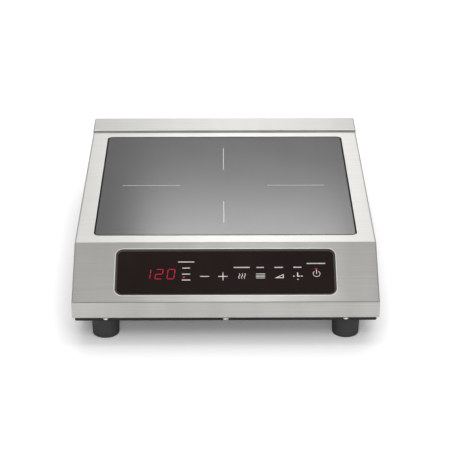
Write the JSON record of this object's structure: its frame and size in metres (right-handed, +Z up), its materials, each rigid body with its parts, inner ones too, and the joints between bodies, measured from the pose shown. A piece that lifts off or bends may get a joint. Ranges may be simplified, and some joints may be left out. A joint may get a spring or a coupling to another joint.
{
  "type": "induction hot plate",
  "caption": "Counter-top induction hot plate with a folded steel body, square black cooking glass, sloped touch panel, raised rear air hood, rubber feet and cooling fans.",
  "frame": {"origin": "on the counter, under the middle of the whole part", "axes": "+Z up, front with the sloped touch panel towards -Y, right hand side of the cook towards +X"},
  "size_m": [0.34, 0.465, 0.098],
  "materials": {
    "brushed_steel": "brushed along the width",
    "zinc_steel": "bright zinc plate",
    "screw_steel": "bright stainless",
    "cooking_glass": "polished black glass ceramic",
    "panel_glass": "polished black",
    "seal_silicone": "matte black silicone",
    "foot_rubber": "matte dark grey",
    "base_plastic": "fine moulded grain",
    "bezel_plastic": "satin dark grey",
    "carrier_plastic": "moulded",
    "board_laminate": "green lacquer",
    "display_body": "dark filter",
    "touch_foam": "conductive rubber",
    "led_lens": "red lens",
    "black_plastic": "moulded",
    "socket_plastic": "ivory",
    "insulation_felt": "pressed fibre felt",
    "coil_copper": "lacquered copper litz",
    "ferrite": "sintered matte",
    "aluminium": "extruded",
    "brass": "turned",
    "sensor_silicone": "red silicone",
    "lead_sleeve": "silicone sleeve",
    "ribbon_grey": "flat grey ribbon",
    "capacitor_case": "blue potted case",
    "choke_winding": "lacquered copper",
    "fan_plastic": "moulded",
    "gland_nylon": "moulded nylon"
  },
  "bodies": {
    "body": {"top_cover": "brushed_steel", "rear_hood": "brushed_steel", "base_pan": "base_plastic", "rubber_feet": "foot_rubber", "base_screws": "screw_steel", "glass_plate": "cooking_glass", "glass_seal": "seal_silicone", "glass_support_frame": "zinc_steel", "control_bezel": "bezel_plastic", "control_glass": "panel_glass", "control_carrier": "carrier_plastic", "control_board": "board_laminate", "control_clips": "zinc_steel", "display_module": "display_body", "touch_pads": "touch_foam", "indicator_leds": "led_lens", "buzzer": "black_plastic", "insulation_pad": "insulation_felt", "induction_coil": "coil_copper", "coil_carrier": "black_plastic", "ferrite_bars": "ferrite", "sensor_holder": "sensor_silicone", "thermistor": "brass", "coil_posts": "aluminium", "coil_straps": "coil_copper", "coil_terminals": "brass", "fan_frames": "fan_plastic", "power_board": "board_laminate", "filter_board": "board_laminate", "heatsink": "aluminium", "igbts": "black_plastic", "bridge_rectifier": "black_plastic", "dc_link_capacitor": "capacitor_case", "resonant_capacitors": "capacitor_case", "power_choke": "choke_winding", "filter_choke": "choke_winding", "filter_capacitor": "capacitor_case", "mains_fuse": "black_plastic", "terminal_block": "socket_plastic", "board_sockets": "socket_plastic", "fan_leads": "lead_sleeve", "sensor_lead": "lead_sleeve", "control_ribbon": "ribbon_grey", "mains_leads": "lead_sleeve", "gland_body": "gland_nylon", "gland_cap": "gland_nylon", "gland_lock_nut": "gland_nylon"},
    "left_fan_rotor": {"fan_rotor_left": "fan_plastic"},
    "right_fan_rotor": {"fan_rotor_right": "fan_plastic"}
  },
  "joints": [
    {"name": "left_fan_spin", "type": "hinge", "parent": "body", "child": "left_fan_rotor", "pos_m": [-0.06, -0.0565, 0.048], "axis": [0, 0, 1], "continuous": true},
    {"name": "right_fan_spin", "type": "hinge", "parent": "body", "child": "right_fan_rotor", "pos_m": [0.06, -0.0565, 0.048], "axis": [0, 0, 1], "continuous": true}
  ]
}
